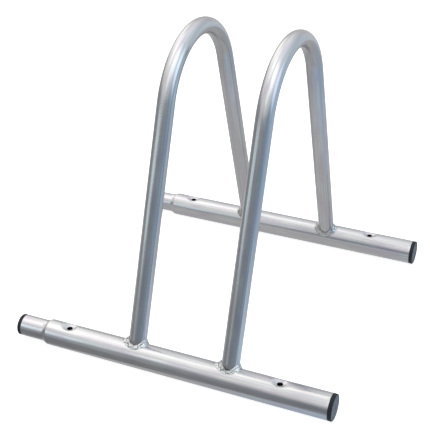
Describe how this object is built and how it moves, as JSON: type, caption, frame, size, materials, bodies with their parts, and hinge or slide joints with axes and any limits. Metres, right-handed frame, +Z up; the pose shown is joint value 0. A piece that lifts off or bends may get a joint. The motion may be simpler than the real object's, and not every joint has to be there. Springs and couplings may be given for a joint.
{
  "type": "bicycle stand",
  "caption": "Floor bicycle stand of bright zinc-plated tube: leaning hoops welded across ground rails hold a wheel upright, and swaged rail ends link it to the next stand.",
  "frame": {"origin": "on the ground at the middle of the footprint", "axes": "+X along the rails from the spigots to the sockets, +Y from the front rail to the rear rail, +Z up"},
  "size_m": [0.515, 0.5, 0.4729],
  "materials": {
    "zinc_plated_tube": "bright zinc plating on drawn steel tube, with draw lines along it",
    "weld_metal": "rippled weld bead under the same zinc plating",
    "black_plastic": "moulded polyethylene with a fine satin grain"
  },
  "bodies": {
    "welded_frame": {"front_rail": "zinc_plated_tube", "rear_rail": "zinc_plated_tube", "left_hoop": "zinc_plated_tube", "right_hoop": "zinc_plated_tube", "weld_front_left": "weld_metal", "weld_front_right": "weld_metal", "weld_rear_left": "weld_metal", "weld_rear_right": "weld_metal"},
    "front_spigot_cap": {"front_spigot_cap": "black_plastic"},
    "rear_spigot_cap": {"rear_spigot_cap": "black_plastic"},
    "front_socket_plug": {"front_socket_plug": "black_plastic"},
    "rear_socket_plug": {"rear_socket_plug": "black_plastic"}
  },
  "joints": [
    {"name": "front_spigot_cap_pull", "type": "slide", "parent": "welded_frame", "child": "front_spigot_cap", "axis": [-1, 0, 0], "range_m": [0, 0.035]},
    {"name": "rear_spigot_cap_pull", "type": "slide", "parent": "welded_frame", "child": "rear_spigot_cap", "axis": [-1, 0, 0], "range_m": [0, 0.035]},
    {"name": "front_socket_plug_pull", "type": "slide", "parent": "welded_frame", "child": "front_socket_plug", "axis": [1, 0, 0], "range_m": [0, 0.035]},
    {"name": "rear_socket_plug_pull", "type": "slide", "parent": "welded_frame", "child": "rear_socket_plug", "axis": [1, 0, 0], "range_m": [0, 0.035]}
  ]
}
